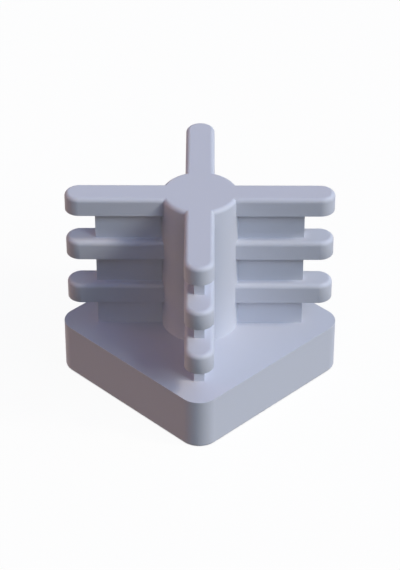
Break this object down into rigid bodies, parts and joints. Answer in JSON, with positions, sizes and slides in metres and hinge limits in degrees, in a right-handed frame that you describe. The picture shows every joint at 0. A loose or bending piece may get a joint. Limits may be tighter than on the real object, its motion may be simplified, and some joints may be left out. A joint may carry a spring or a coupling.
{
  "type": "tube end cap",
  "caption": "Square end cap for a tube: a thick rounded head with four finned corner ribs on a round core, moulded in one piece.",
  "frame": {"origin": "centre of the head's flat outer face, which is the underside here", "axes": "+Z along the cap's axis, from the head towards the tip of the insert; X and Y square to the head's sides"},
  "size_m": [0.02, 0.02, 0.0202],
  "materials": {
    "cap_plastic": "smooth satin moulding in cool light grey"
  },
  "bodies": {
    "root": {"end_cap": "cap_plastic"}
  },
  "joints": []
}
